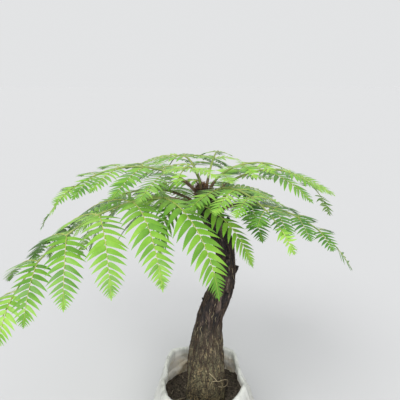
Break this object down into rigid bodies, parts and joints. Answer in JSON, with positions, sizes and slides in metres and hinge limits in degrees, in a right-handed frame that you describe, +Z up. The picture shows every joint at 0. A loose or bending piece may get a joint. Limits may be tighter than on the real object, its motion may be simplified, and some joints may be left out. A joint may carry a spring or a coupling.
{
  "type": "tree fern in a woven sack",
  "caption": "Young tree fern with a leaning fibrous trunk and a domed crown of feathery arching fronds, planted in a white woven sack filled with soil.",
  "frame": {"origin": "middle of the sack's flat underside, which the plant stands on", "axes": "+Z up, -Y towards the front, where the picture was taken from, +X to the right"},
  "size_m": [1.1535, 1.0915, 1.1843],
  "materials": {
    "sack": "woven",
    "soil": "crumbly",
    "trunk": "fibrous",
    "frond": "leafy",
    "frond_dark": "leafy"
  },
  "bodies": {
    "root": {"sack": "sack", "soil": "soil", "trunk": "trunk", "frond_left_front_base": "frond", "frond_left_front_tip": "frond", "frond_right_front": "frond", "frond_right": "frond_dark", "frond_right_back_base": "frond", "frond_right_back_tip": "frond", "frond_back_base": "frond_dark", "frond_back_tip": "frond_dark", "frond_back_left_base": "frond", "frond_back_left_tip": "frond", "frond_left_back_base": "frond", "frond_left_back_tip": "frond", "frond_left_base": "frond", "frond_left_tip": "frond", "frond_young_right": "frond", "frond_young_back": "frond", "frond_young_front": "frond"}
  },
  "joints": []
}
